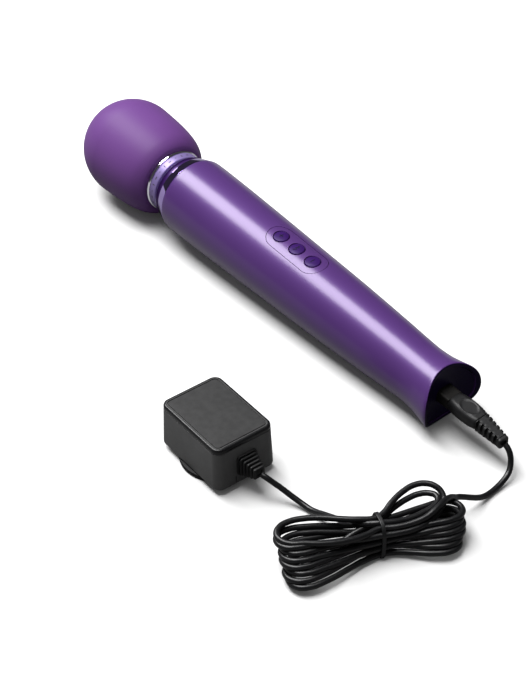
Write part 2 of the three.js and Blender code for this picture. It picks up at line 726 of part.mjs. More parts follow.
// Ribbed block that guards the cord where it leaves the case.
function adapterRelief() {
  const face = -ADAPTER_SIZE[0] / 2 - GAP;
  const pieceAt = (from, length, width, height) => {
    const geometry = new THREE.BoxGeometry(length, width, height);
    geometry.translate(from - length / 2, 0, 0);
    return geometry;
  };
  const core = pieceAt(face, ADAPTER_RELIEF_LENGTH, 5.4, 5.4);
  const ribs = [];
  const ribCount = 5;
  for (let i = 0; i < ribCount; i += 1) {
    const size = 12.4 - 1.2 * i;
    ribs.push(pieceAt(face - 2.3 * i, 1.3, size, size - 0.6));
  }
  const geometry = join(core, ...ribs);
  geometry.translate(0, 0, ADAPTER_EXIT_Z);
  return geometry;
}

function buildAdapter(root) {
  const adapter = new THREE.Group();
  adapter.position.set(...ADAPTER_CENTRE, 0);
  adapter.rotation.z = ADAPTER_YAW;
  const top = ADAPTER_BOTTOM + ADAPTER_HEIGHT;
  const inside = ADAPTER_BOTTOM + ADAPTER_WALL;
  mesh('adapter_case', adapterCase(), PLASTIC_BLACK, adapter);
  mesh('adapter_lid', adapterLid(), PLASTIC_BLACK, adapter);
  mesh('adapter_label', adapterLayer(2.6, top - 0.6, 0.45), LABEL_GREY, adapter);
  mesh('adapter_plug_boss', adapterBoss(), PLASTIC_BLACK, adapter);
  mesh('adapter_relief', adapterRelief(), PLASTIC_BLACK, adapter);
  const board = new THREE.BoxGeometry(44, 30, 1.6);
  board.translate(0, 0, inside + 3);
  mesh('adapter_board', board, BOARD_GREEN, adapter);
  const transformer = new THREE.BoxGeometry(18, 16, 14);
  transformer.translate(6, 0, inside + 11.3);
  mesh('adapter_transformer', transformer, COPPER, adapter);
  for (const [name, side] of [['adapter_contact_left', -1], ['adapter_contact_right', 1]]) {
    const contact = new THREE.BoxGeometry(2, 6, 1.6);
    contact.translate(side * 7, 0, inside + 1.15);
    mesh(name, contact, BRASS, adapter);
  }
  root.add(adapter);
}

// ---------------------------------------------------------------------------------------------
// Assembly
// ---------------------------------------------------------------------------------------------

const massager = new THREE.Group();
massager.name = 'wand_massager';

const drop = HEAD_RADIUS - handleRadius(REST_STATION);
const tilt = Math.asin(drop / (REST_STATION - HEAD_CENTRE));
const wand = new THREE.Group();
wand.rotation.set(WAND_ROLL, -tilt, 0, 'YXZ');
wand.position.set(
  (WAND_END / 2) * Math.cos(tilt),
  0,
  HEAD_RADIUS + HEAD_CENTRE * Math.sin(tilt),
);
buildHead(wand);
buildNeck(wand);
buildHandle(wand);
buildConnector(wand);
massager.add(wand);
buildCord(massager);
buildAdapter(massager);

export default massager;
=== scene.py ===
import math

import bpy
from mathutils import Matrix, Vector


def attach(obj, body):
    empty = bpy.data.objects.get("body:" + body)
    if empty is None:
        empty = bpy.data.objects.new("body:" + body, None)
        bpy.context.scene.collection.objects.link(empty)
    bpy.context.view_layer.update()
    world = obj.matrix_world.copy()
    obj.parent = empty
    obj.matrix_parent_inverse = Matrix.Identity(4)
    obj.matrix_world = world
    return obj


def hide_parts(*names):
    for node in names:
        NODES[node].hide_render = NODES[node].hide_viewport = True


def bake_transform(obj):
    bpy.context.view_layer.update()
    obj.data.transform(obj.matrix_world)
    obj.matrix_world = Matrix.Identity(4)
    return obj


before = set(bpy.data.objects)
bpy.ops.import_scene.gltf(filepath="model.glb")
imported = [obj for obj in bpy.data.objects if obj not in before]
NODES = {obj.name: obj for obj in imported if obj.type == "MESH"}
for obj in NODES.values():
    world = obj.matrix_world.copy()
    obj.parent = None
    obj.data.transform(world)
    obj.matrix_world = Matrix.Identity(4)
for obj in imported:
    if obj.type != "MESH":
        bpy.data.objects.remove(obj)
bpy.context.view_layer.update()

MM = 0.001
IN_PLACE = Matrix.Identity(4)

# Wand frame: local x is minus the station along the axis, y is across and z is up, in millimetres.
HEAD_RADIUS = 31.9
HEAD_CENTRE = 28.8
REST_STATION = 322.0     # where the flared end touches the floor
REST_RADIUS = 20.3885
WAND_ROLL = -0.06
WAND_HALF = 165.0
TILT = math.asin((HEAD_RADIUS - REST_RADIUS) / (REST_STATION - HEAD_CENTRE))
WAND_TIP_X = WAND_HALF * math.cos(TILT)
WAND_TIP_Z = HEAD_RADIUS + HEAD_CENTRE * math.sin(TILT)
WAND = (
    Matrix.Translation((WAND_TIP_X * MM, 0, WAND_TIP_Z * MM))
    @ Matrix.Rotation(-TILT, 4, "Y")
    @ Matrix.Rotation(WAND_ROLL, 4, "X")
    @ Matrix.Scale(MM, 4)
)
WORLD_MM = Matrix.Scale(MM, 4)

# Adapter frame: origin on the floor under the case, x along the case's long side.
ADAPTER_CENTRE = (-99.3, 114.4)
ADAPTER_YAW = -0.03
ADAPTER = (
    Matrix.Scale(MM, 4)
    @ Matrix.Translation((*ADAPTER_CENTRE, 0))
    @ Matrix.Rotation(ADAPTER_YAW, 4, "Z")
)


# ---------------------------------------------------------------------------------------------
# Mesh helpers
# ---------------------------------------------------------------------------------------------

def through(points, steps):
    """Points on a smooth curve through the given ones (Catmull-Rom)."""
    rows = []
    last = len(points) - 1
    for i in range(last):
        a, b, c, d = (points[max(i - 1, 0)], points[i], points[i + 1], points[min(i + 2, last)])
        for k in range(steps):
            t = k / steps
            rows.append([
                0.5 * (2 * q + (r - p) * t + (2 * p - 5 * q + 4 * r - s) * t * t
                       + (3 * q - p - 3 * r + s) * t ** 3)
                for p, q, r, s in zip(a, b, c, d)
            ])
    rows.append(list(points[-1]))
    return rows


def circle(radius, count):
    """Ring of points on a circle, anticlockwise."""
    angles = [2 * math.pi * j / count for j in range(count)]
    return [(radius * math.cos(angle), radius * math.sin(angle)) for angle in angles]


def mesh_object(name, vertices, faces, place):
    mesh = bpy.data.meshes.new(name)
    mesh.from_pydata([Vector(v) for v in vertices], [], faces)
    mesh.transform(place)
    mesh.validate()
    piece = bpy.data.objects.new(name, mesh)
    bpy.context.scene.collection.objects.link(piece)
    return piece


def smooth(piece, degrees=38):
    mesh = piece.data
    mesh.polygons.foreach_set("use_smooth", [True] * len(mesh.polygons))
    mesh.set_sharp_from_angle(angle=math.radians(degrees))
    mesh.update()
    return piece


def skin(name, rows, place, wrap_rows=False, degrees=38):
    """Closed skin over rows of points, each row a closed ring. The rows join end to end, or are capped."""
    count = len(rows[0])
    vertices = [p for row in rows for p in row]
    faces = []
    total = len(rows)
    for i in range(total if wrap_rows else total - 1):
        a, b = i * count, ((i + 1) % total) * count
        for j in range(count):
            k = (j + 1) % count
            faces.append((a + j, a + k, b + k, b + j))
    if not wrap_rows:
        for start, flip in ((0, True), ((total - 1) * count, False)):
            centre = len(vertices)
            ring = vertices[start:start + count]
            vertices.append([sum(p[axis] for p in ring) / count for axis in range(3)])
            for j in range(count):
                k = (j + 1) % count
                pair = (start + k, start + j) if flip else (start + j, start + k)
                faces.append((*pair, centre))
    piece = mesh_object(name, vertices, faces, place)
    outward(piece)
    return smooth(piece, degrees)


def outward(piece):
    """Turns the faces of a closed mesh outwards."""
    mesh = piece.data
    volume = 0.0
    for face in mesh.polygons:
        corners = [mesh.vertices[i].co for i in face.vertices]
        for k in range(1, len(corners) - 1):
            volume += corners[0].dot(corners[k].cross(corners[k + 1]))
    if volume < 0:
        mesh.flip_normals()


def turned(name, profile, segments, degrees=38):
    """Turned piece about the wand's axis, from a closed profile of station and radius."""
    rows = [[(-station, y, z) for y, z in circle(radius, segments)] for station, radius in profile]
    return skin(name, rows, WAND, wrap_rows=True, degrees=degrees)


def rounded(length, width, corner, steps):
    """Ring of points on a rounded rectangle, anticlockwise, with five more along each straight side."""
    corner = min(corner, length / 2 - 1e-3, width / 2 - 1e-3)
    ring = []
    for k, (sx, sy) in enumerate(((1, 1), (-1, 1), (-1, -1), (1, -1))):
        cx, cy = sx * (length / 2 - corner), sy * (width / 2 - corner)
        for j in range(steps + 1):
            angle = math.pi / 2 * (k + j / steps)
            ring.append((cx + corner * math.cos(angle), cy + corner * math.sin(angle)))
    filled = []
    for i, p in enumerate(ring):
        q = ring[(i + 1) % len(ring)]
        filled.append(p)
        if i % (steps + 1) == steps:
            filled.extend((p[0] + (q[0] - p[0]) * t / 6, p[1] + (q[1] - p[1]) * t / 6) for t in range(1, 6))
    return filled


def carve(piece, tool, operation="DIFFERENCE"):
    """Cuts the tool from the piece, or keeps only what they share, and removes the tool."""
    modifier = piece.modifiers.new("carve", "BOOLEAN")
    modifier.object = tool
    modifier.operation = operation
    modifier.solver = "EXACT"
    graph = bpy.context.evaluated_depsgraph_get()
    result = bpy.data.meshes.new_from_object(piece.evaluated_get(graph))
    piece.modifiers.clear()
    piece.data = result
    bpy.data.objects.remove(tool)
    return piece


def shade_by(piece, normal_at, limit=0.97):
    """Sets the shading normals from a known surface where a face lies on it, and flat elsewhere."""
    mesh = piece.data
    mesh.polygons.foreach_set("use_smooth", [True] * len(mesh.polygons))
    normals = [Vector((0, 0, 1))] * len(mesh.loops)
    for face in mesh.polygons:
        on_surface = face.normal.dot(normal_at(face.center)) > limit
        for k in face.loop_indices:
            point = mesh.vertices[mesh.loops[k].vertex_index].co
            normals[k] = normal_at(point) if on_surface else face.normal.copy()
    mesh.normals_split_custom_set(normals)
    return piece


def dress(piece, slot, look, *nodes):
    """Gives a piece its material and hides the CAD nodes it stands for; the slot is not used."""
    piece.data.materials.clear()
    piece.data.materials.append(look)
    if nodes:
        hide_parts(*nodes)
    return piece


def piece_of(piece, body, slot, look, *nodes):
    """Dresses a piece, which then rides on one body.
    """
    dress(piece, slot, look, *nodes)
    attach(piece, body)
    return piece


# ---------------------------------------------------------------------------------------------
# Materials
# ---------------------------------------------------------------------------------------------

def surface(
    name, dark, light, roughness, metallic=0.0, patch=60.0, grain=2500.0, bump=0.05, depth=0.00004,
    coat=0.0, coat_roughness=0.1, coat_ior=1.5, specular=0.5, stretch=(1, 1, 1), spread=0.06,
):
    """Procedural material: two colours in soft patches, uneven roughness and a fine grain in relief."""
    look = bpy.data.materials.new(name)
    look.use_nodes = True
    nodes, links = look.node_tree.nodes, look.node_tree.links
    shader = nodes["Principled BSDF"]
    where = nodes.new("ShaderNodeTexCoord")
    scale = nodes.new("ShaderNodeMapping")
    scale.inputs["Scale"].default_value = stretch
    links.new(where.outputs["Object"], scale.inputs["Vector"])

    def noise(size, detail):
        node = nodes.new("ShaderNodeTexNoise")
        node.inputs["Scale"].default_value = size
        node.inputs["Detail"].default_value = detail
        links.new(scale.outputs["Vector"], node.inputs["Vector"])
        return node.outputs["Fac"]

    patches, fine = noise(patch, 3), noise(grain, 2)
    colours = nodes.new("ShaderNodeValToRGB")
    colours.color_ramp.elements[0].position = 0.35
    colours.color_ramp.elements[1].position = 0.65
    colours.color_ramp.elements[0].color = (*dark, 1)
    colours.color_ramp.elements[1].color = (*light, 1)
    links.new(patches, colours.inputs["Fac"])
    links.new(colours.outputs["Color"], shader.inputs["Base Color"])
    spreading = nodes.new("ShaderNodeMapRange")
    spreading.inputs["From Min"].default_value = 0.3
    spreading.inputs["From Max"].default_value = 0.7
    spreading.inputs["To Min"].default_value = max(roughness - spread, 0.02)
    spreading.inputs["To Max"].default_value = min(roughness + spread, 1)
    links.new(fine, spreading.inputs["Value"])
    links.new(spreading.outputs["Result"], shader.inputs["Roughness"])
    relief = nodes.new("ShaderNodeBump")
    relief.inputs["Strength"].default_value = bump
    relief.inputs["Distance"].default_value = depth
    links.new(fine, relief.inputs["Height"])
    links.new(relief.outputs["Normal"], shader.inputs["Normal"])
    shader.inputs["Metallic"].default_value = metallic
    shader.inputs["Specular IOR Level"].default_value = specular
    shader.inputs["Coat Weight"].default_value = coat
    shader.inputs["Coat Roughness"].default_value = coat_roughness
    shader.inputs["Coat IOR"].default_value = coat_ior
    return look


LOOKS = {
    "silicone": surface(
        "silicone", (0.066, 0.024, 0.106), (0.071, 0.027, 0.114), 0.48, patch=25, grain=3200, bump=0.12,
        depth=0.00003, specular=0.1,
    ),
    "satin_purple": surface(
        "satin_purple", (0.046, 0.0175, 0.092), (0.050, 0.0195, 0.098), 0.42, metallic=0.22, patch=18,
        grain=6000, bump=0.06, depth=0.00002, coat=1.0, coat_roughness=0.24, coat_ior=1.345, spread=0.05,
        specular=0.05,
    ),
    "panel_purple": surface(
        "panel_purple", (0.045, 0.0170, 0.090), (0.049, 0.0190, 0.096), 0.42, metallic=0.22, patch=18,
        grain=6000, bump=0.06, depth=0.00002, coat=1.0, coat_roughness=0.24, coat_ior=1.345, spread=0.05,
        specular=0.05,
    ),
    "button_purple": surface(
        "button_purple", (0.016, 0.0028, 0.050), (0.018, 0.0034, 0.055), 0.42, metallic=0.1, patch=120,
        grain=5000, bump=0.06, depth=0.00002, coat=0.2, coat_roughness=0.3, coat_ior=1.34, specular=0.06,
    ),
    "mark_dark": surface(
        "mark_dark", (0.003, 0.0008, 0.010), (0.004, 0.0012, 0.013), 0.5, patch=300, grain=6000, specular=0.1,
    ),
    "lilac_band": surface(
        "lilac_band", (0.125, 0.092, 0.225), (0.14, 0.105, 0.245), 0.42, metallic=0.35, patch=90, grain=9000,
        bump=0.08, depth=0.00001, spread=0.05, stretch=(8, 1, 1),
    ),
    "bright_ring": surface(
        "bright_ring", (0.80, 0.79, 0.86), (0.86, 0.85, 0.92), 0.08, metallic=1, patch=90, grain=9000,
        bump=0.03, depth=0.00001, spread=0.03, stretch=(8, 1, 1),
    ),
    "bezel_mirror": surface(
        "bezel_mirror", (0.40, 0.29, 0.66), (0.44, 0.32, 0.70), 0.04, metallic=1, patch=90, grain=9000,
        bump=0.02, depth=0.00001, spread=0.01,
    ),
    "neck_rubber": surface(
        "neck_rubber", (0.005, 0.004, 0.008), (0.008, 0.006, 0.012), 0.55, patch=200, grain=3500, bump=0.3,
    ),
    # Painted shade: the handle's purple made much darker for the scooped end, which faces away from the
    # light.
    "painted_shade_purple": surface(
        "painted_shade_purple", (0.004, 0.0015, 0.014), (0.005, 0.002, 0.017), 0.4, patch=60, grain=3000, bump=0.15,
        specular=0.06,
    ),
    "connector_plastic": surface(
        "connector_plastic", (0.0050, 0.0050, 0.0055), (0.0075, 0.0075, 0.008), 0.45, patch=150, grain=3500,
        bump=0.35, depth=0.00005, specular=0.18,
    ),
    # Painted shade: the connector's plastic made darker and duller for the collar, where it sits in the
    # wand's socket.
    "collar_painted_shade": surface(
        "collar_painted_shade", (0.0050, 0.0046, 0.0042), (0.0068, 0.0062, 0.0058), 0.55, patch=200, grain=3500,
        bump=0.3, depth=0.00004, specular=0.12,
    ),
    "relief_rubber": surface(
        "relief_rubber", (0.0045, 0.0045, 0.005), (0.0065, 0.0065, 0.007), 0.5, patch=200, grain=3500,
        bump=0.35, depth=0.00005, specular=0.22,
    ),
    "cord_jacket": surface(
        "cord_jacket", (0.0035, 0.0035, 0.004), (0.005, 0.005, 0.0055), 0.34, patch=110, grain=1800,
        bump=0.12, depth=0.00005, specular=0.26, spread=0.08,
    ),
    "tie_plastic": surface(
        "tie_plastic", (0.005, 0.005, 0.0055), (0.0075, 0.0075, 0.008), 0.42, patch=300, grain=3000, bump=0.2,
        specular=0.25,
    ),
    "adapter_plastic": surface(
        "adapter_plastic", (0.036, 0.036, 0.0365), (0.044, 0.044, 0.0445), 0.5, patch=90, grain=2300,
        bump=0.5, depth=0.00007, specular=0.3,
    ),
    "adapter_gloss": surface(
        "adapter_gloss", (0.004, 0.004, 0.0045), (0.0055, 0.0055, 0.006), 0.3, patch=90, grain=2600, bump=0.1,
        depth=0.00003, specular=0.2,
    ),
    "adapter_border": surface(
        "adapter_border", (0.026, 0.026, 0.0263), (0.032, 0.032, 0.0323), 0.6, patch=120, grain=2300,
        bump=0.4, depth=0.00006, specular=0.12,
    ),
    "adapter_label": surface(
        "adapter_label", (0.0145, 0.0145, 0.0148), (0.0185, 0.0185, 0.0188), 0.6, patch=250, grain=2000,
        bump=0.55, depth=0.00008, specular=0.12,
    ),
    "inner_plastic": surface(
        "inner_plastic", (0.55, 0.54, 0.50), (0.62, 0.61, 0.57), 0.5, patch=80, grain=2600, bump=0.2,
    ),
    "steel": surface(
        "steel", (0.50, 0.51, 0.53), (0.60, 0.61, 0.63), 0.28, metallic=1, patch=120, grain=4000, bump=0.1,
        stretch=(1, 6, 6),
    ),
    "cell_wrap": surface(
        "cell_wrap", (0.03, 0.10, 0.30), (0.04, 0.13, 0.36), 0.35, patch=60, grain=2600, bump=0.1, coat=0.3,
    ),
    "circuit_board": surface(
        "circuit_board", (0.012, 0.10, 0.04), (0.02, 0.16, 0.06), 0.4, patch=500, grain=2600, bump=0.2,
    ),
    "keypad_rubber": surface(
        "keypad_rubber", (0.07, 0.07, 0.08), (0.10, 0.10, 0.11), 0.7, patch=200, grain=2600, bump=0.3,
    ),
    "copper_coil": surface(
        "copper_coil", (0.28, 0.11, 0.05), (0.42, 0.18, 0.09), 0.4, metallic=0.7, patch=400, grain=2600,
        bump=0.3,
    ),
    "brass": surface(
        "brass", (0.55, 0.36, 0.12), (0.66, 0.45, 0.18), 0.3, metallic=1, patch=200, grain=3000, bump=0.1,
    ),
    "black_plastic": surface(
        "black_plastic", (0.004, 0.004, 0.0045), (0.006, 0.006, 0.0065), 0.45, patch=150, grain=3000,
        bump=0.25, specular=0.08,
    ),
}

# Looks of the CAD nodes that stay, all of them inside the wand and the adapter.
INNER = {
    "inner_plastic": (
        "head_core_shell", "head_front_carrier", "head_rear_carrier", "neck_stub", "neck_mount",
        "motor_mount_ring", "chassis",
    ),
    "steel": (
        "head_front_bearing", "head_rear_bearing", "eccentric_shaft", "neck_swivel_ring", "flex_coupling",
        "motor_can", "motor_shaft",
    ),
    "black_plastic": ("switch_plus", "switch_pattern", "switch_minus", "charge_socket"),
    "cell_wrap": ("battery_cell_front", "battery_cell_rear"),
    "circuit_board": ("main_board", "adapter_board"),
    "keypad_rubber": ("keypad_membrane",),
    "copper_coil": ("adapter_transformer",),
    "brass": ("adapter_contact_left", "adapter_contact_right"),
}
for look_name, names in INNER.items():
    for node_name in names:
        NODES[node_name].data.materials.clear()
        NODES[node_name].data.materials.append(LOOKS[look_name])


# ---------------------------------------------------------------------------------------------
# Camera
# ---------------------------------------------------------------------------------------------

def make_camera():
    """Camera fitted to the outline of the wand, its rings and the adapter."""
    camera = bpy.data.cameras.new("camera")
    camera.lens = 95.59
    camera.sensor_width = 36
    camera.sensor_fit = "AUTO"
    camera.clip_start = 0.05
    camera.clip_end = 50
    holder = bpy.data.objects.new("camera", camera)
    bpy.context.scene.collection.objects.link(holder)
    look = Vector((0.60215, -0.47462, -0.64199)).normalized()
    right = Vector((-0.62738, -0.77861, -0.01282))
    right = (right - look * right.dot(look)).normalized()
    up = right.cross(look)
    turn = Matrix((right, up, -look)).transposed().to_4x4()
    holder.matrix_world = Matrix.Translation((-0.7015, 0.5551, 0.6995)) @ turn
    bpy.context.scene.camera = holder


make_camera()


# ---------------------------------------------------------------------------------------------
# Cord: one length from the connector, through the hank, to the adapter
# ---------------------------------------------------------------------------------------------

CORD_DIAMETER = 3.3
WAND_LEAD_ROUTE = [
    (-204.9, 0, 16.2), (-207.6, 0.2, 14.6), (-210, 0.7, 11.8), (-211.9, 2, 8.4), (-213.3, 3.9, 6.2),
    (-214.3, 6.2, 4.6), (-215.4, 11.2, 2.9), (-216.2, 17, 2), (-216.8, 22.5, 2), (-217.2, 27.5, 3.2),
    (-217.3, 32, 5.4), (-217.1, 36.5, 8.2), (-216.6, 41, 11), (-216.2, 44.5, 13), (-216.1, 46.6, 14),
]
ADAPTER_LEAD_ROUTE = [
    (-138.9, 115.4, 15.5), (-141.9, 114.2, 14.4), (-144.8, 112.2, 12), (-148.6, 109.8, 9.2),
    (-152.8, 107.8, 6.6), (-156.9, 106.1, 4.6), (-161, 104.8, 3.2), (-165.5, 103.9, 2.7),
    (-170, 103.5, 3.8), (-175, 103.3, 6), (-181.7, 103.2, 9), (-186, 102.9, 10.7), (-189.5, 102.5, 12),
]
HANK_CENTRE = (-207.5, 93.5)
HANK_HEADING = 1.218
TURNS = 7
LOOP_RADIUS = 8.2
LOOP_TILT = 1.4          # rise of a fold's near side, and fall of its far side


def from_hank(u, v, z):
    """A point given along the hank, across it and up, in the row frame."""
    c, s = math.cos(HANK_HEADING), math.sin(HANK_HEADING)
    return (HANK_CENTRE[0] + u * c + v * s, HANK_CENTRE[1] + u * s - v * c, z)


def near_at_tie(i):
    """Where turn i's near run passes the tie, along the hank, across it and up."""
    return (0, -(3.1 + 3.0 * (i % 2 == 0)) - 0.15 * (TURNS - i), 2.8 + 2.07 * i)


def far_at_tie(i):
    """Where turn i's far run passes the tie."""
    if i == 0:
        return (0, 3.6, 15.0)
    if i == TURNS:
        return (0, 3.7, 18.5)
    return (0, 3.0 + 3.1 * (i % 2 == 0), 2.8 + 2.05 * (i - 1))


def fold(centre, first, last):
    """Half a turn round the end of the hank, between two angles in degrees."""
    u, v, z = centre
    points = []
    for k in range(5):
        angle = math.radians(first + (last - first) * k / 4)
        sine = math.sin(angle)
        points.append((u + LOOP_RADIUS * math.cos(angle), v + LOOP_RADIUS * sine, z - LOOP_TILT * sine))
    return points


def left_centre(i):
    wobble = 1.1 * math.sin(2.3 * i)
    return (44 + wobble, -10.2 + 2.62 * i, 3.4 + 2.27 * i)


def right_centre(i):
    wobble = 0.9 * math.sin(1.7 * i + 0.6)
    return (-33 - 1.1 * i + wobble, -10.8 + 2.2 * i, 3.3 + 2.25 * i)


def run(loop_end, tie):
    """Points between a fold's end and the tie, nearest the fold first."""
    points = []
    for share in (0.75, 0.5, 0.25):
        eased = share * share * (3 - 2 * share)
        points.append((
            tie[0] + (loop_end[0] - tie[0]) * share,
            tie[1] + (loop_end[1] - tie[1]) * eased,
            tie[2] + (loop_end[2] - tie[2]) * eased,
        ))
    return points


def hank_route():
    """The whole hank: the loose loops on top, then the turns from the top one down, then the way out."""
    over_right = [
        (-43.8, 6.6, 16.6), (-40.3, 4.2, 19), (-36.6, 1.4, 20.4), (-31.5, -2, 20.6), (-25, -4.8, 19.4),
        (-17, -5.6, 18.2), (-8, -4.9, 17.5),
    ]
    open_left = [
        (9, -5.2, 17.5), (20, -6.6, 18.4), (32, -5.2, 19.2), (41, -2.2, 19.6), (47.6, -0.2, 19.6),
        (51.6, 3.4, 19.6), (52.6, 8, 19.6), (49.6, 12.8, 19.6), (43.5, 15.2, 19.4), (35.5, 14.9, 19.3),
        (26.6, 12.4, 19.2), (18.3, 8.7, 19.2), (9, 5.2, 19),
    ]
    outer_right = [
        (-5, 5.6, 18.8), (-11.3, 10.4, 19.8), (-20.3, 15.4, 20.8), (-27, 17, 21.4), (-32.6, 15.9, 21.6),
        (-36.8, 12.8, 21), (-38.9, 8.9, 19.2), (-38.4, 5, 17.3), (-34.6, 0.4, 16.6), (-27, -5, 16),
        (-17, -7.6, 15.5), (-8, -7.2, 15.2),
    ]
    inner_right = [
        (-4, 5.2, 15.2), (-8, 7.6, 15.6), (-14.5, 10.9, 16), (-21.5, 13.2, 16.6), (-28, 13.9, 17.2),
        (-33, 12.4, 17.6), (-35.9, 9, 17.8), (-34.8, 5, 17.6), (-30.5, 2, 17.4), (-24.7, 0.2, 17.3),
        (-17.7, -1.4, 17.5), (-10.4, -1.8, 18), (-4, -1.1, 18.5), (0.9, -0.2, 18.7), (4.6, 1.8, 17.6),
        (8.4, 5.2, 15.9), (11.8, 9.6, 14.1),
    ]
    route = over_right + [near_at_tie(TURNS)] + open_left + [far_at_tie(TURNS)] + outer_right
    for i in range(TURNS - 1, -1, -1):
        around = fold(left_centre(i), -90, 90)
        route += [near_at_tie(i), *reversed(run(around[0], near_at_tie(i))), *around]
        route += [*run(around[-1], far_at_tie(i)), far_at_tie(i)]
        if i > 0:
            back = fold(right_centre(i - 1), 90, 270)
            route += [*reversed(run(back[0], far_at_tie(i))), *back, *run(back[-1], near_at_tie(i - 1))]
    route += inner_right
    return [from_hank(*p) for p in route]


def cord_curve(name, points, diameter):
    """Round cord on one smooth open spline."""
    curve = bpy.data.curves.new(name, "CURVE")
    curve.dimensions = "3D"
    curve.bevel_depth = diameter / 2 * MM
    curve.bevel_resolution = 5
    curve.resolution_u = 8
    curve.use_fill_caps = True
    spline = curve.splines.new("BEZIER")
    spline.bezier_points.add(len(points) - 1)
    for knot, point in zip(spline.bezier_points, points):
        knot.co = Vector(point) * MM
        knot.handle_left_type = knot.handle_right_type = "AUTO"
    piece = bpy.data.objects.new(name, curve)
    bpy.context.scene.collection.objects.link(piece)
    return piece


ROUTE = WAND_LEAD_ROUTE + hank_route() + ADAPTER_LEAD_ROUTE[::-1]
cord = cord_curve("charging_cord", ROUTE, CORD_DIAMETER)
piece_of(
    cord, "handle", "cord_jacket", LOOKS["cord_jacket"],
    "cord_wand_lead", "cord_hank", "cord_adapter_lead",
)


def make_tie():
    """Thin strap round the waist of the hank, with its twisted ends pressed flat on top."""
    outline = [
        (-8.6, 1.5), (-9.2, 4), (-9.0, 8), (-8.3, 12), (-7.2, 16), (-5.4, 18.9), (-2.6, 20.5), (0.6, 21),
        (3.8, 20.9), (6.2, 19.6), (7.4, 16.8), (8.0, 13), (8.3, 9), (8.2, 5), (7.6, 1.8), (5, 0.55),
        (0, 0.5), (-5.5, 0.55),
    ]
    ring = through(outline + outline[:1], 6)[:-1]
    strap = rounded(2.3, 0.9, 0.4, 4)
    count = len(ring)
    rows = []
    for i, (v, z) in enumerate(ring):
        (pv, pz), (nv, nz) = ring[i - 1], ring[(i + 1) % count]
        length = math.hypot(nv - pv, nz - pz)
        outwards = ((pz - nz) / length, (nv - pv) / length)
        lean = 0.09 * (z - 10)
        rows.append([from_hank(a - lean, v + b * outwards[0], z + b * outwards[1]) for a, b in strap])
    tie = skin("hank_tie", rows, WORLD_MM, wrap_rows=True)
    return piece_of(tie, "handle", "tie_plastic", LOOKS["tie_plastic"], "cord_tie")


tie = make_tie()


# ---------------------------------------------------------------------------------------------
# Head and neck
# ---------------------------------------------------------------------------------------------

def head_outline(inset):
    """Station and radius along the head's side, from the tip to the shoulder, moved in by an inset."""
    ball = []
    for k in range(33):
        angle = math.pi / 2 * k / 32
        radius = HEAD_RADIUS - inset
        ball.append((HEAD_CENTRE - radius * math.cos(angle), max(radius * math.sin(angle), 0.02)))
    shoulder = [
        (HEAD_CENTRE, 31.9), (40, 31.35), (50, 30.55), (58, 29.4), (64, 27.8), (68, 25.6), (70.3, 23.4),
        (71, 21.9),
    ]
    return ball[:-1] + [(s, r - inset) for s, r in through(shoulder, 8)]


def make_head():
    wall = 3.2
    outer = head_outline(0)
    inner = [(min(s, 70.9), r) for s, r in head_outline(wall)]
    cover = turned("head_skin", outer + inner[::-1], segments=192, degrees=60)
    piece_of(cover, "head", "head_silicone", LOOKS["silicone"], "head_cover")

    ring_profile = [(71.3, 16.5), (71.3, 20.2)]
    for k in range(9):
        angle = math.pi * k / 8
        ring_profile.append((72.45 - 1.15 * math.cos(angle), 20.2 + 0.7 * math.sin(angle)))
    ring_profile += [(73.6, 20.2), (73.6, 16.5)]
    ring = turned("head_ring", ring_profile, segments=192)
    piece_of(ring, "head", "lilac_chrome", LOOKS["bright_ring"], "head_trim_ring")

    band = turned("collar_band", [
        (73.9, 16.5), (73.9, 19.9), (74.05, 20.15), (74.3, 20.2), (76.6, 20.1), (78.3, 19.9), (78.75, 19.75),
        (79, 19.4), (79, 16.5),
    ], segments=192)
    piece_of(band, "head", "lilac_chrome", LOOKS["lilac_band"], "head_collar_band")


def make_band_marks():
    """Generic ticks and dots set round the collar band."""
    vertices, faces = [], []
    marks, station, band_radius = 28, 76.4, 20.15
    for m in range(marks):
        angle = 2 * math.pi * m / marks
        wide, tall = ((0.95, 0.28), (0.34, 0.34), (0.28, 0.95))[m % 3]
        outline = rounded(2 * wide, 2 * tall, min(wide, tall) * 0.9, 3)
        start = len(vertices)
        for lift in (19.6, 20.2):
            for a, b in outline:
                turn = angle + a / band_radius
                vertices.append((-(station + b), lift * math.cos(turn), lift * math.sin(turn)))
        count = len(outline)
        for j in range(count):
            k = (j + 1) % count
            faces.append((start + j, start + k, start + count + k, start + count + j))
        faces.append(tuple(start + j for j in reversed(range(count))))
        faces.append(tuple(start + count + j for j in range(count)))
    piece = mesh_object("band_marks", vertices, faces, WAND)
    outward(piece)
    return piece_of(smooth(piece), "head", "neck_rubber", LOOKS["neck_rubber"])


def make_neck():
    """Polished chamfer on the handle, and the rubber sleeve that flexes between handle and head."""
    bezel = turned("neck_bezel_ring", [
        (81.3, 18.8), (81.3, 20.5), (81.4, 20.75), (81.65, 21.1), (82.2, 21.45), (87, 22.95), (92.2, 24.6),
        (92.55, 24.65), (92.7, 24.5), (92.7, 18.8),
    ], segments=192, degrees=50)
    piece_of(bezel, "handle", "lilac_chrome", LOOKS["bezel_mirror"], "neck_bezel")
    sleeve = turned("neck_sleeve", [
        (75, 14.4), (75, 15.9), (79.9, 15.9), (80.5, 16.3), (80.8, 18.2), (81, 18.5), (86, 18.5), (86, 17),
        (82.4, 17), (81.8, 16.6), (81.4, 14.6), (81, 14.4),
    ], segments=128)
    dress(sleeve, "neck_rubber", LOOKS["neck_rubber"], "flex_sleeve")
    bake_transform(sleeve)


make_head()
make_band_marks()
make_neck()


# ---------------------------------------------------------------------------------------------
# Handle
# ---------------------------------------------------------------------------------------------

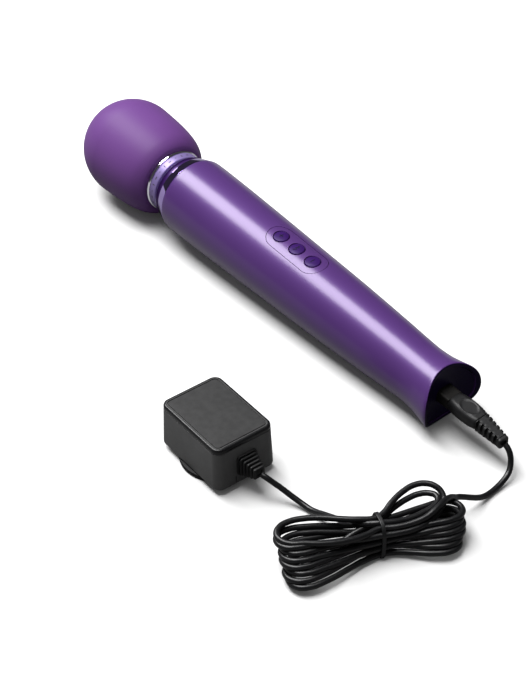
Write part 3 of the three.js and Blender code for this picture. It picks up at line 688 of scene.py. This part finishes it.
HANDLE_OUTLINE = [
    (93, 24.95), (97, 25.1), (108, 25), (130, 24.6), (165, 23.6), (200, 22.5), (235, 21.4),
    (270, 19.8), (292, 18.6), (303, 18.2), (312, 18.7), (319, 19.8), (324, 20.8), (328, 21.5), (330, 21.1),
]
HANDLE_CURVE = through(HANDLE_OUTLINE, 24)
HANDLE_WALL = 2.4
SCOOP_DEPTH = 8.0
HANDLE_TIP = 21.1
SCOOP_RADIUS = (HANDLE_TIP ** 2 + SCOOP_DEPTH ** 2) / (2 * SCOOP_DEPTH)
WAND_END = 330.0
BUTTON_STATIONS = (180.5, 194.8, 209.0)
BUTTON_RADIUS = 4.8
BUTTON_FOOT = 17.7
BUTTON_HOLE = 5.15
STROKE_HALF = 0.3
PANEL_SIZE = (47, 17.5)


def handle_radius(station):
    """Radius of the handle's side at a station."""
    for (s0, r0), (s1, r1) in zip(HANDLE_CURVE, HANDLE_CURVE[1:]):
        if station <= s1:
            return r0 + (r1 - r0) * max(station - s0, 0) / max(s1 - s0, 1e-9)
    return HANDLE_CURVE[-1][1]


def scoop_station(across, offset=0.0):
    """Station of the scooped end face at a distance across the wand."""
    radius = SCOOP_RADIUS + offset
    return WAND_END - SCOOP_DEPTH + SCOOP_RADIUS - math.sqrt(max(radius ** 2 - across ** 2, 0))


def rim_at(angle):
    """Station and radius where the handle's side meets the scooped face."""
    station = WAND_END
    for _ in range(12):
        station = scoop_station(handle_radius(station) * math.cos(angle))
    return station, handle_radius(station)


def polar(station, radius, angle):
    """A point in the wand frame, from its station, its distance from the axis and its angle round it."""
    return (-station, radius * math.cos(angle), radius * math.sin(angle))


def handle_normal(point):
    """Outward normal of the handle's side, at a point in the wand frame."""
    station, radial = -point[0], Vector((0, point[1], point[2])).normalized()
    slope = (handle_radius(station + 0.6) - handle_radius(station - 0.6)) / 1.2
    return (radial + Vector((slope, 0, 0))).normalized()


def upright_tool(outline, station):
    """Upright cutter through the top of the handle, centred on a station."""
    rows = [[(x - station, y, z) for x, y in outline] for z in (5, 40)]
    return skin("tool", rows, IN_PLACE)


def panel_tool(grow):
    """Cutter with the control panel's obround outline."""
    width = PANEL_SIZE[1] + 2 * grow
    outline = rounded(PANEL_SIZE[0] + 2 * grow, width, width / 2, 24)
    return upright_tool(outline, BUTTON_STATIONS[1])


def make_handle():
    """Tapered shell with a flared, scooped end, and an opening for the control panel."""
    segments, bands = 240, 120
    fillet = 1.6
    columns = []
    for j in range(segments):
        angle = 2 * math.pi * j / segments
        rim_station, rim_radius = rim_at(angle)
        column = [
            polar(93, 22.55, angle), polar(93, 24.6, angle), polar(93.1, 24.85, angle),
            polar(93.35, handle_radius(93.35), angle),
        ]
        first, last = 93.8, rim_station - fillet
        for k in range(bands + 1):
            station = first + (last - first) * k / bands
            column.append(polar(station, handle_radius(station), angle))
        start = Vector(polar(last, handle_radius(last), angle))
        corner = Vector(polar(rim_station, rim_radius, angle))
        inward = rim_radius - fillet
        stop = Vector(polar(scoop_station(inward * math.cos(angle)), inward, angle))
        for k in range(1, 7):
            t = k / 6
            column.append(tuple(start * (1 - t) ** 2 + corner * 2 * t * (1 - t) + stop * t * t))
        inner = rim_radius - HANDLE_WALL - 0.35
        scoop = scoop_station(inner * math.cos(angle))
        column += [polar(scoop, inner, angle), polar(scoop - 3.2, inner, angle)]
        for station in (300, 270, 235, 200, 165, 130, 104):
            column.append(polar(station, handle_radius(station) - HANDLE_WALL, angle))
        columns.append(column)
    rows = [[column[i] for column in columns] for i in range(len(columns[0]))]
    handle = skin("handle_skin", rows, IN_PLACE, wrap_rows=True, degrees=50)
    carve(handle, panel_tool(0.3))

    # The side is shaded from its true outline, because the cut leaves long thin faces round the opening.
    corner_start = WAND_END - SCOOP_DEPTH - fillet - 0.3
    mesh = handle.data
    mesh.polygons.foreach_set("use_smooth", [True] * len(mesh.polygons))
    mesh.set_sharp_from_angle(angle=math.radians(42))
    mesh.update()
    normals = [corner.vector.copy() for corner in mesh.corner_normals]
    for face in mesh.polygons:
        station = -face.center[0]
        if 94 < station < corner_start and face.normal.dot(handle_normal(face.center)) > 0.97:
            for k in face.loop_indices:
                normals[k] = handle_normal(mesh.vertices[mesh.loops[k].vertex_index].co)
    mesh.normals_split_custom_set(normals)
    # Shell faces at the end rim that turn towards the end get the dark purple, a painted shade.
    painted_shade_lip = [face.index for face in mesh.polygons if -face.center[0] > 315 and face.normal[0] < -0.72]
    mesh.transform(WAND)
    piece_of(handle, "handle", "handle_shell", LOOKS["satin_purple"], "handle_shell")
    mesh.materials.append(LOOKS["painted_shade_purple"])
    for index in painted_shade_lip:
        mesh.polygons[index].material_index = 1


def make_panel():
    """Thin plate flush with the handle, with a hole for each button."""
    across, along = 48, 80
    first, length = 169.5, 50.6
    rows = []
    for i in range(along + 1):
        station = first + length * i / along
        ring = []
        for lift in (-0.06, -2.2):
            angles = range(across + 1) if lift > -1 else reversed(range(across + 1))
            for j in angles:
                angle = math.pi / 2 + (j / across - 0.5) * 1.0
                ring.append(polar(station, handle_radius(station) + lift, angle))
        rows.append(ring)
    panel = skin("control_plate", rows, IN_PLACE)
    carve(panel, panel_tool(0), "INTERSECT")
    for station in BUTTON_STATIONS:
        carve(panel, upright_tool(circle(BUTTON_HOLE, 64), station))
    shade_by(panel, handle_normal)
    panel.data.transform(WAND)
    piece_of(panel, "handle", "control_panel", LOOKS["panel_purple"], "control_panel")


def make_button(name, node, station, strokes):
    """Button with a low crown, and its mark as thin strokes that stand just proud of it."""
    top = handle_radius(station) + 0.55
    profile = [
        (0.02, BUTTON_FOOT), (BUTTON_RADIUS - 0.2, BUTTON_FOOT), (BUTTON_RADIUS, BUTTON_FOOT + 0.2),
        (BUTTON_RADIUS, top - 1.25),
    ]
    for k in range(1, 7):
        angle = math.pi / 2 * k / 6
        profile.append((BUTTON_RADIUS - 0.9 * (1 - math.cos(angle)), top - 1.25 + 0.85 * math.sin(angle)))
    for radius, drop in ((3.3, 0.24), (2.5, 0.13), (1.5, 0.05), (0.6, 0.01), (0.02, 0)):
        profile.append((radius, top - drop))
    rows = [[(-station + x, y, z) for x, y in circle(radius, 72)] for radius, z in profile]
    button = skin(name, rows, WAND, degrees=50)
    piece_of(button, node, "buttons", LOOKS["button_purple"], node)

    vertices, faces = [], []
    for path in strokes:
        start = len(vertices)
        for i, (a, b) in enumerate(path):
            (pa, pb), (na, nb) = path[max(i - 1, 0)], path[min(i + 1, len(path) - 1)]
            length = math.hypot(na - pa, nb - pb)
            side = (-(nb - pb) / length * STROKE_HALF, (na - pa) / length * STROKE_HALF)
            distance = math.hypot(a, b)
            crown = top - 0.024 * distance * distance
            for sign in (1, -1):
                for height in (-0.35, 0.06):
                    vertices.append((-station + a + sign * side[0], b + sign * side[1], crown + height))
        for i in range(len(path) - 1):
            p, q = start + 4 * i, start + 4 * i + 4
            for a, b in ((0, 1), (1, 3), (3, 2), (2, 0)):
                faces.append((p + a, p + b, q + b, q + a))
        last = start + 4 * (len(path) - 1)
        faces.append((start, start + 2, start + 3, start + 1))
        faces.append((last, last + 1, last + 3, last + 2))
    mark = mesh_object(name + "_mark", vertices, faces, WAND)
    outward(mark)
    piece_of(smooth(mark), node, "buttons", LOOKS["mark_dark"])


def make_end_face():
    """Scooped face inside the rim, with the mouth of the charging socket, coloured dark purple as a painted
    shade on the handle's end.
    """
    segments, steps = 128, 14
    wide, low, high = 5.5, 4.0, 4.3
    mouth, rims = [], []
    for j in range(segments):
        angle = 2 * math.pi * j / segments
        c, s = math.cos(angle), math.sin(angle)
        tall = high if s > 0 else low
        reach = min(wide / max(abs(c), 1e-6), tall / max(abs(s), 1e-6))
        corner = (abs(c) / wide) ** 6 + (abs(s) / tall) ** 6
        mouth.append((min(reach, corner ** (-1 / 6)), angle))
        rims.append((rim_at(angle)[1] - HANDLE_WALL - 0.65, angle))

    def on_scoop(ring, depth):
        """A ring of radius and angle, laid on the scooped face and sunk by a depth."""
        return [polar(scoop_station(r * math.cos(a), 0.6) - depth, r, a) for r, a in ring]

    rows = [on_scoop(mouth, 12.0), on_scoop(mouth, 0.5)]
    for k in range(steps + 1):
        spread = []
        for (inner, a), (rim, _) in zip(mouth, rims):
            first = inner + 0.4
            spread.append((first + (rim - 0.3 - first) * k / steps, a))
        rows.append(on_scoop(spread, 0))
    rows += [on_scoop(rims, 0.4), on_scoop(rims, 5.0)]
    rows.append([polar(WAND_END - 20, 14, a) for _, a in mouth])
    face = skin("end_face", rows, WAND, wrap_rows=True, degrees=45)
    piece_of(face, "handle", "end_cap", LOOKS["painted_shade_purple"], "end_cap")


def stroke(start, end):
    """Straight stroke in short steps, so that it follows the button's crown."""
    steps = 10
    return [tuple(p + (q - p) * k / steps for p, q in zip(start, end)) for k in range(steps + 1)]


def wave(first, last, height):
    """Wavy stroke across the button."""
    return [
        (height * math.sin(5 * math.pi * k / 40), first + (last - first) * k / 40) for k in range(41)
    ]


make_handle()
make_panel()
BAR_ACROSS = stroke((0, -1.6), (0, 1.6))
BAR_ALONG = stroke((-1.6, 0), (1.6, 0))
make_button("button_more", "button_plus", BUTTON_STATIONS[0], [BAR_ALONG, BAR_ACROSS])
make_button("button_mode", "button_pattern", BUTTON_STATIONS[1], [wave(-2.5, 2.5, 0.75)])
make_button("button_less", "button_minus", BUTTON_STATIONS[2], [BAR_ACROSS])
make_end_face()


# ---------------------------------------------------------------------------------------------
# Charging connector
# ---------------------------------------------------------------------------------------------

def section(station, width, low, high, corner, steps=10):
    """Ring of points round the connector at a station."""
    ring = rounded(width, high - low, corner, steps)
    return [[-station, a, (low + high) / 2 + b] for a, b in ring]


def make_connector():
    """Square collar in the wand's socket, and the grip with its oval thumb recess."""
    rows = [
        section(302, 4.6, -2.3, 2.3, 2.2), section(315.6, 4.6, -2.3, 2.3, 2.2),
        section(315.7, 9.6, -3.4, 3.7, 0.9), section(316, 10.4, -3.7, 4, 1),
        section(330, 10.4, -3.7, 4, 1), section(330.3, 10.1, -3.55, 3.85, 1),
    ]
    collar = skin("connector_collar", rows, WAND, degrees=30)
    # The collar takes a darker copy of the connector's plastic, a painted shade.
    piece_of(collar, "handle", "connector_plastic", LOOKS["collar_painted_shade"])

    rows = []
    shape = through([
        (330.4, 10.6, -3.9, 4.3), (330.9, 11.0, -4.15, 4.6), (332.5, 11.7, -4.3, 4.75),
        (336, 12.6, -4.35, 4.85), (341, 13.1, -4.3, 4.8), (346, 12.6, -4.2, 4.55),
        (349.5, 11.5, -4.05, 4.3), (350.8, 10.9, -3.95, 4.15), (351.2, 10.5, -3.8, 4.0),
    ], 10)
    recess_station, recess_half_length, recess_half_width, grip_shoulder = 341.8, 6.5, 4.4, 2.2
    for station, width, low, high in shape:
        ring = section(station, width, low, high, 3.2, 16)
        for p in ring:
            if p[2] < grip_shoulder:
                continue
            reach = math.hypot((station - recess_station) / recess_half_length, p[1] / recess_half_width)
            p[2] -= 0.35 / (1 + math.exp((reach - 0.93) / 0.018))
            p[2] += 0.2 * math.exp(-((reach - 1.02) / 0.05) ** 2)
        rows.append(ring)
    body = skin("connector_grip", rows, WAND, degrees=50)
    piece_of(body, "handle", "connector_plastic", LOOKS["connector_plastic"], "dc_connector")


def make_relief():
    """Flat tapered strain relief with slots from side to side, and the flange at its end."""
    first, last, end = 351.5, 366.9, 369
    slot_starts = [first + 0.75 + 3.1 * i for i in range(5)]
    stations = [first, first + 0.25]
    for at in slot_starts:
        stations += [at - 0.12, at + 0.12, at + 0.8, at + 1.48, at + 1.72, at + 2.4]
    stations = sorted(s for s in stations if s < last) + [last]
    rows = []
    for s in stations:
        t = (s - first) / (end - first)
        width, low, high = 10.7 + (6.6 - 10.7) * t, -4 - 1.5 * t, 4.1 + (0.9 - 4.1) * t
        if s == first:
            width, low, high = width - 0.5, low + 0.25, high - 0.25
        ring = section(s, width, low, high, 1.9 - 0.5 * t, 10)
        if any(at + 0.1 < s < at + 1.5 for at in slot_starts):
            for p in ring:
                level = (p[2] - low) / (high - low)
                side = max(0, min(1, (abs(p[1]) / (width / 2) - 0.55) / 0.3))
                cut = max(0, min(1, (level - 0.3) / 0.25))
                p[1] -= math.copysign((0.2 + 1.3 * cut) * side, p[1])
                p[2] -= 0.8 * side * max(0, level - 0.5) * 2
        rows.append(ring)
    relief = skin("connector_strain_relief", rows, WAND, degrees=35)
    piece_of(relief, "handle", "connector_rubber", LOOKS["relief_rubber"], "connector_relief")

    rows = [
        section(366.7, 6.4, -5.3, 0.7, 1.6), section(366.9, 7.0, -5.5, 0.9, 1.8),
        section(367.2, 7.2, -5.6, 1, 1.9), section(368.5, 7.2, -5.6, 1, 1.9),
        section(end, 6.6, -5.3, 0.7, 1.8), section(369.05, 4.2, -3.9, -0.7, 1.5),
        section(367.9, 3.9, -3.8, -0.8, 1.5),
    ]
    flange = skin("connector_relief_end", rows, WAND, degrees=35)
    piece_of(flange, "handle", "connector_rubber", LOOKS["relief_rubber"])


make_connector()
make_relief()


# ---------------------------------------------------------------------------------------------
# Adapter
# ---------------------------------------------------------------------------------------------

ADAPTER_SIZE = (54.2, 39.7)
ADAPTER_BOTTOM = 3.4
ADAPTER_HEIGHT = 28.2
ADAPTER_TOP = ADAPTER_BOTTOM + ADAPTER_HEIGHT
ADAPTER_CORNER = 5.0


def layer(inset, z, corner=ADAPTER_CORNER):
    """Ring of points round the adapter, moved in by an inset, at a height."""
    share = (z - ADAPTER_BOTTOM) / ADAPTER_HEIGHT
    length = (ADAPTER_SIZE[0] - 2 * inset) * (1 - 0.04 * share)
    width = (ADAPTER_SIZE[1] - 2 * inset) * (1 - 0.034 * share)
    return [(x, y, z) for x, y in rounded(length, width, max(corner - inset, 0.7), 12)]


def make_adapter():
    """Case and lid with a fine seam between them, and the label in a raised border on the lid."""
    low, seam = ADAPTER_BOTTOM, ADAPTER_TOP - 3.15
    rows = [
        layer(4, low), layer(1.2, low), layer(0.5, low + 0.15), layer(0.12, low + 0.6), layer(0, low + 1.3),
        layer(0, (low + seam) / 2), layer(0, seam - 0.3), layer(0.1, seam - 0.08), layer(0.3, seam),
        layer(2, seam), layer(2, low + 2),
    ]
    case = skin("adapter_body", rows, ADAPTER, degrees=30)
    piece_of(case, "handle", "adapter_plastic", LOOKS["adapter_plastic"], "adapter_case")

    seam, top = ADAPTER_TOP - 2.85, ADAPTER_TOP
    rows = [
        layer(0.3, seam), layer(0.1, seam + 0.08), layer(0, seam + 0.3), layer(0, top - 1.35),
        layer(0.1, top - 0.85), layer(0.35, top - 0.45), layer(0.75, top - 0.15), layer(1.25, top - 0.03),
        layer(1.5, top - 0.03), layer(1.6, top - 1), layer(3, top - 1),
    ]
    lid = skin("adapter_lid_border", rows, ADAPTER, degrees=40)
    piece_of(lid, "handle", "adapter_gloss", LOOKS["adapter_gloss"], "adapter_lid")

    rows = [
        layer(1.55, top - 0.6), layer(1.55, top - 0.06), layer(1.7, top), layer(2.05, top),
        layer(2.2, top - 0.08), layer(2.25, top - 1.1),
    ]
    rim = skin("adapter_rim", rows, ADAPTER, degrees=40)
    piece_of(rim, "handle", "adapter_plastic", LOOKS["adapter_border"])

    rows = [layer(2.75, top - 1.1), layer(2.77, top - 0.2), layer(2.9, top - 0.08), layer(3.2, top - 0.05)]
    label = skin("adapter_label_plate", rows, ADAPTER, degrees=40)
    piece_of(label, "handle", "adapter_label", LOOKS["adapter_label"], "adapter_label")


def make_boss():
    """Round boss that takes a plug head, standing on the floor under the case."""
    profile = [
        (0.02, 0.9), (14, 0.9), (14.3, 0.7), (14.6, 0.1), (15, 0), (20.6, 0), (21.2, 0.25), (21.5, 0.8),
        (21.5, 2.4), (21.3, 2.9), (20.9, 3.1), (0.02, 3.1),
    ]
    rows = [[(x, y, z) for x, y in circle(radius, 120)] for radius, z in profile]
    boss = skin("adapter_boss", rows, ADAPTER, degrees=35)
    piece_of(boss, "handle", "adapter_plastic", LOOKS["black_plastic"], "adapter_plug_boss")


def make_adapter_relief():
    """Square ribbed strain relief on the end of the case, and the fine line below it."""
    face, centre_height = -ADAPTER_SIZE[0] / 2 + 0.4, 15.5

    def ring(distance, size, height):
        """Rounded square at a distance out from the case's end."""
        outline = rounded(size, height, size * 0.16, 6)
        return [(face - distance, a, centre_height + b) for a, b in outline]

    rows = [ring(0, 13.2, 13.2), ring(0.9, 13.2, 13.2), ring(1.1, 12.9, 12.9), ring(1.15, 8, 8)]
    for i in range(5):
        rib, core, at = 12.2 - 1.25 * i, 7.6 - 0.7 * i, 1.5 + 2.15 * i
        rows += [
            ring(at, core, core), ring(at + 0.05, rib - 0.7, rib - 1), ring(at + 0.25, rib, rib - 0.4),
            ring(at + 1.15, rib, rib - 0.4), ring(at + 1.35, rib - 0.7, rib - 1), ring(at + 1.4, core, core),
        ]
    rows += [ring(11.3, 4.7, 4.7), ring(11.5, 4.3, 4.3), ring(11.5, 3.6, 3.6), ring(10.9, 3.5, 3.5)]
    relief = skin("adapter_strain_relief", rows, ADAPTER, degrees=32)
    upright = ((7.22, 4.6), (7.58, 4.6), (7.58, 9.2), (7.22, 9.2))
    line = skin("adapter_face_line", [[(face + x, y, z) for y, z in upright] for x in (-0.36, 0.24)], ADAPTER)
    piece_of(line, "handle", "adapter_gloss", LOOKS["black_plastic"])
    return piece_of(relief, "handle", "connector_rubber", LOOKS["relief_rubber"], "adapter_relief")


make_adapter()
make_boss()
adapter_relief = make_adapter_relief()


# ---------------------------------------------------------------------------------------------
# Floor and light
# ---------------------------------------------------------------------------------------------

def make_floor():
    """Pale floor that throws little light back, and fades to white paper away from the object."""
    half, fade_start, fade_end = 4.0, 0.45, 0.95
    floor = mesh_object(
        "floor", [(-half, -half, 0), (half, -half, 0), (half, half, 0), (-half, half, 0)], [(0, 1, 2, 3)],
        IN_PLACE,
    )
    look = surface("floor_white", (0.45, 0.45, 0.45), (0.46, 0.46, 0.46), 0.8, specular=0.0, bump=0.0)
    nodes, links = look.node_tree.nodes, look.node_tree.links
    dim = nodes.new("ShaderNodeBsdfDiffuse")
    dim.inputs["Color"].default_value = (0.15, 0.15, 0.15, 1)
    path = nodes.new("ShaderNodeLightPath")
    mix = nodes.new("ShaderNodeMixShader")
    where = nodes.new("ShaderNodeTexCoord")
    reach = nodes.new("ShaderNodeVectorMath")
    reach.operation = "LENGTH"
    fade = nodes.new("ShaderNodeMapRange")
    fade.inputs["From Min"].default_value = fade_start
    fade.inputs["From Max"].default_value = fade_end
    paper = nodes.new("ShaderNodeEmission")
    paper.inputs["Color"].default_value = (1, 1, 1, 1)
    seen = nodes.new("ShaderNodeMixShader")
    links.new(where.outputs["Object"], reach.inputs[0])
    links.new(reach.outputs["Value"], fade.inputs["Value"])
    links.new(fade.outputs["Result"], seen.inputs["Fac"])
    links.new(nodes["Principled BSDF"].outputs["BSDF"], seen.inputs[1])
    links.new(paper.outputs["Emission"], seen.inputs[2])
    links.new(path.outputs["Is Camera Ray"], mix.inputs["Fac"])
    links.new(dim.outputs["BSDF"], mix.inputs[1])
    links.new(seen.outputs["Shader"], mix.inputs[2])
    links.new(mix.outputs["Shader"], nodes["Material Output"].inputs["Surface"])
    floor.data.materials.append(look)


def area_light(name, place, aim, size, power):
    """White rectangular panel that faces its aim."""
    light = bpy.data.lights.new(name, "AREA")
    light.shape = "RECTANGLE"
    light.size, light.size_y = size
    light.energy = power
    holder = bpy.data.objects.new(name, light)
    bpy.context.scene.collection.objects.link(holder)
    towards = Vector(aim) - Vector(place)
    holder.location = place
    holder.rotation_mode = "QUATERNION"
    holder.rotation_quaternion = towards.to_track_quat("-Z", "Y")


def make_world(strength, mirrored, seen_strength):
    """Even white light from all round, dimmer in reflections and white behind the floor."""
    world = bpy.data.worlds.new("studio")
    bpy.context.scene.world = world
    world.use_nodes = True
    nodes, links = world.node_tree.nodes, world.node_tree.links
    nodes.remove(nodes["Background"])
    path = nodes.new("ShaderNodeLightPath")

    def white(power):
        node = nodes.new("ShaderNodeBackground")
        node.inputs["Color"].default_value = (1, 1, 1, 1)
        node.inputs["Strength"].default_value = power
        return node.outputs["Background"]

    def switch(ray, otherwise, on_ray):
        node = nodes.new("ShaderNodeMixShader")
        links.new(path.outputs[ray], node.inputs["Fac"])
        links.new(otherwise, node.inputs[1])
        links.new(on_ray, node.inputs[2])
        return node.outputs["Shader"]

    unseen = switch("Is Glossy Ray", white(strength), white(mirrored))
    every_ray = switch("Is Camera Ray", unseen, white(seen_strength))
    links.new(every_ray, nodes["World Output"].inputs["Surface"])


make_floor()
make_world(strength=0.42, mirrored=0.05, seen_strength=1.0)
area_light("softbox", place=(1.0, 0.24, 1.5), aim=(1.0, 0.24, 0), size=(2.4, 0.9), power=125)
area_light("low_panel", place=(2.0, -0.15, 0.55), aim=(0.08, 0, 0.04), size=(0.4, 0.3), power=1.6)
bpy.context.scene.view_settings.view_transform = "Standard"
